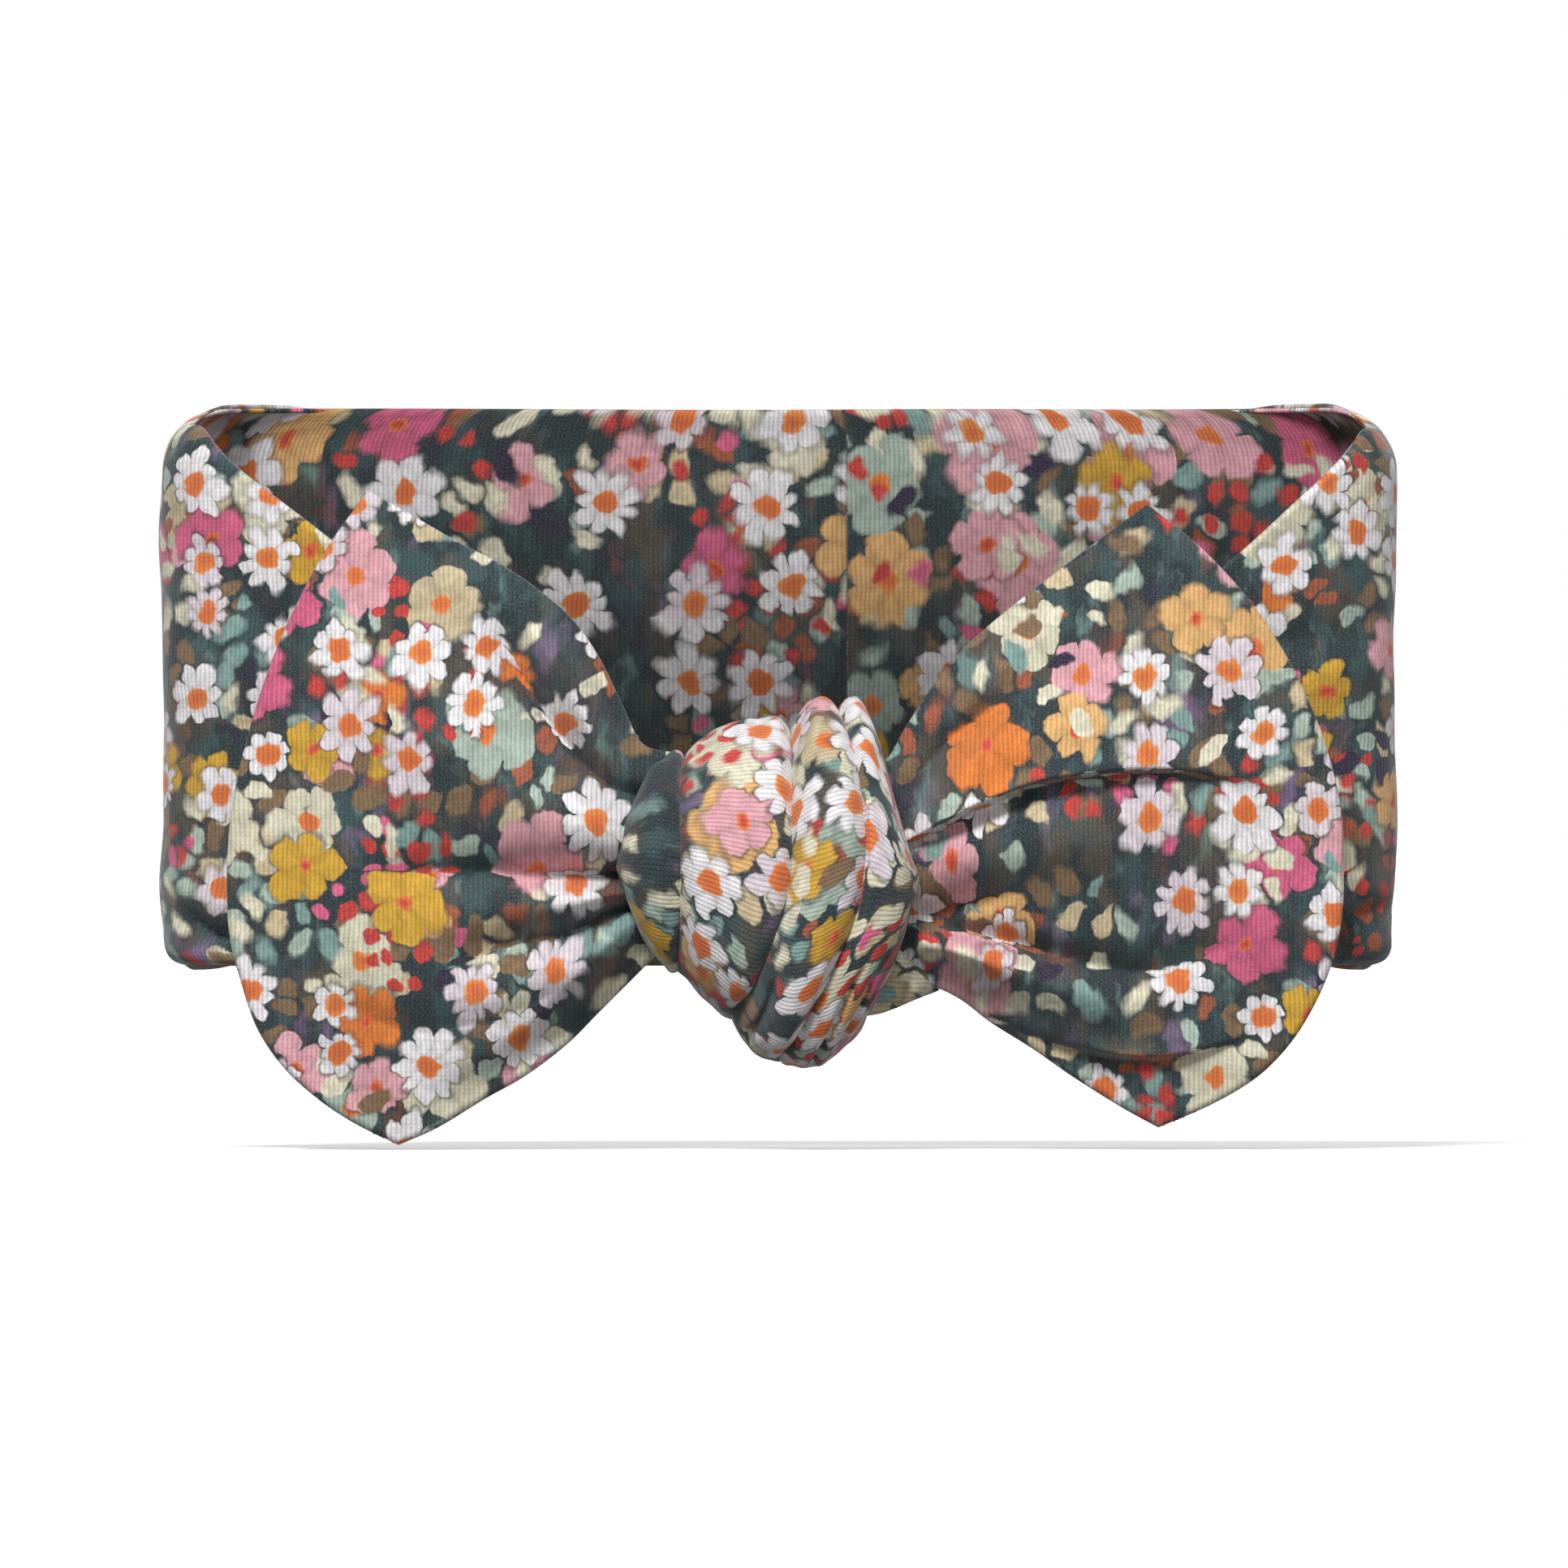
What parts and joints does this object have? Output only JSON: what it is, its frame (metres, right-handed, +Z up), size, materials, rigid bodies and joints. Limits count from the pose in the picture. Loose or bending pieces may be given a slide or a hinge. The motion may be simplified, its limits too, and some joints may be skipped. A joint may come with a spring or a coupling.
{
  "type": "knotted bow headband",
  "caption": "Wide stretch-jersey head wrap with a small multicoloured flower print and a soft bow strip knotted round its gathered front.",
  "frame": {"origin": "middle of the head opening: half way between the side folds, the front and the back of the loop, and the band's two long edges", "axes": "+X runs from side fold to side fold, to the right as seen from the front, +Y runs to the back of the head, +Z runs up across the band; the bow faces -Y"},
  "size_m": [0.178, 0.067, 0.1065],
  "materials": {
    "band_jersey": "fine jersey knit, dark green-grey ground with a dense flower print",
    "lining_jersey": "the same printed jersey, seen on the inside of the loop",
    "bow_jersey": "the same printed jersey, ribs across the strip",
    "thread": "spun polyester sewing thread"
  },
  "bodies": {
    "band_back": {"band_back_left_outer": "band_jersey", "band_back_right_outer": "band_jersey", "band_back_left_lining": "lining_jersey", "band_back_right_lining": "lining_jersey", "back_join_thread": "thread", "band_back_edge_thread": "thread"},
    "band_front": {"band_front_left_outer": "band_jersey", "band_front_right_outer": "band_jersey", "band_front_left_lining": "lining_jersey", "band_front_right_lining": "lining_jersey", "band_gather": "band_jersey", "knot_core": "bow_jersey", "knot_left_fold": "bow_jersey", "knot_main_fold": "bow_jersey", "knot_middle_fold": "bow_jersey", "knot_right_fold": "bow_jersey", "knot_tuck": "bow_jersey", "knot_tack_thread": "thread", "band_front_edge_thread": "thread"},
    "left_wing": {"left_wing_front": "bow_jersey", "left_wing_back": "bow_jersey", "left_wing_end_thread": "thread"},
    "right_wing": {"right_wing_front": "bow_jersey", "right_wing_back": "bow_jersey", "right_wing_end_thread": "thread"}
  },
  "joints": [
    {"name": "band_stretch", "type": "slide", "parent": "band_back", "child": "band_front", "axis": [0, -1, 0], "range_m": [0, 0.045], "stiffness_N_per_m": 100},
    {"name": "left_wing_fold", "type": "hinge", "parent": "band_front", "child": "left_wing", "pos_m": [-0.0205, -0.0375, -0.026], "axis": [0, 0, 1], "range_deg": [0, 55], "stiffness_Nm_per_rad": 0.003},
    {"name": "right_wing_fold", "type": "hinge", "parent": "band_front", "child": "right_wing", "pos_m": [0.0175, -0.0375, -0.026], "axis": [0, 0, -1], "range_deg": [0, 55], "stiffness_Nm_per_rad": 0.003}
  ]
}
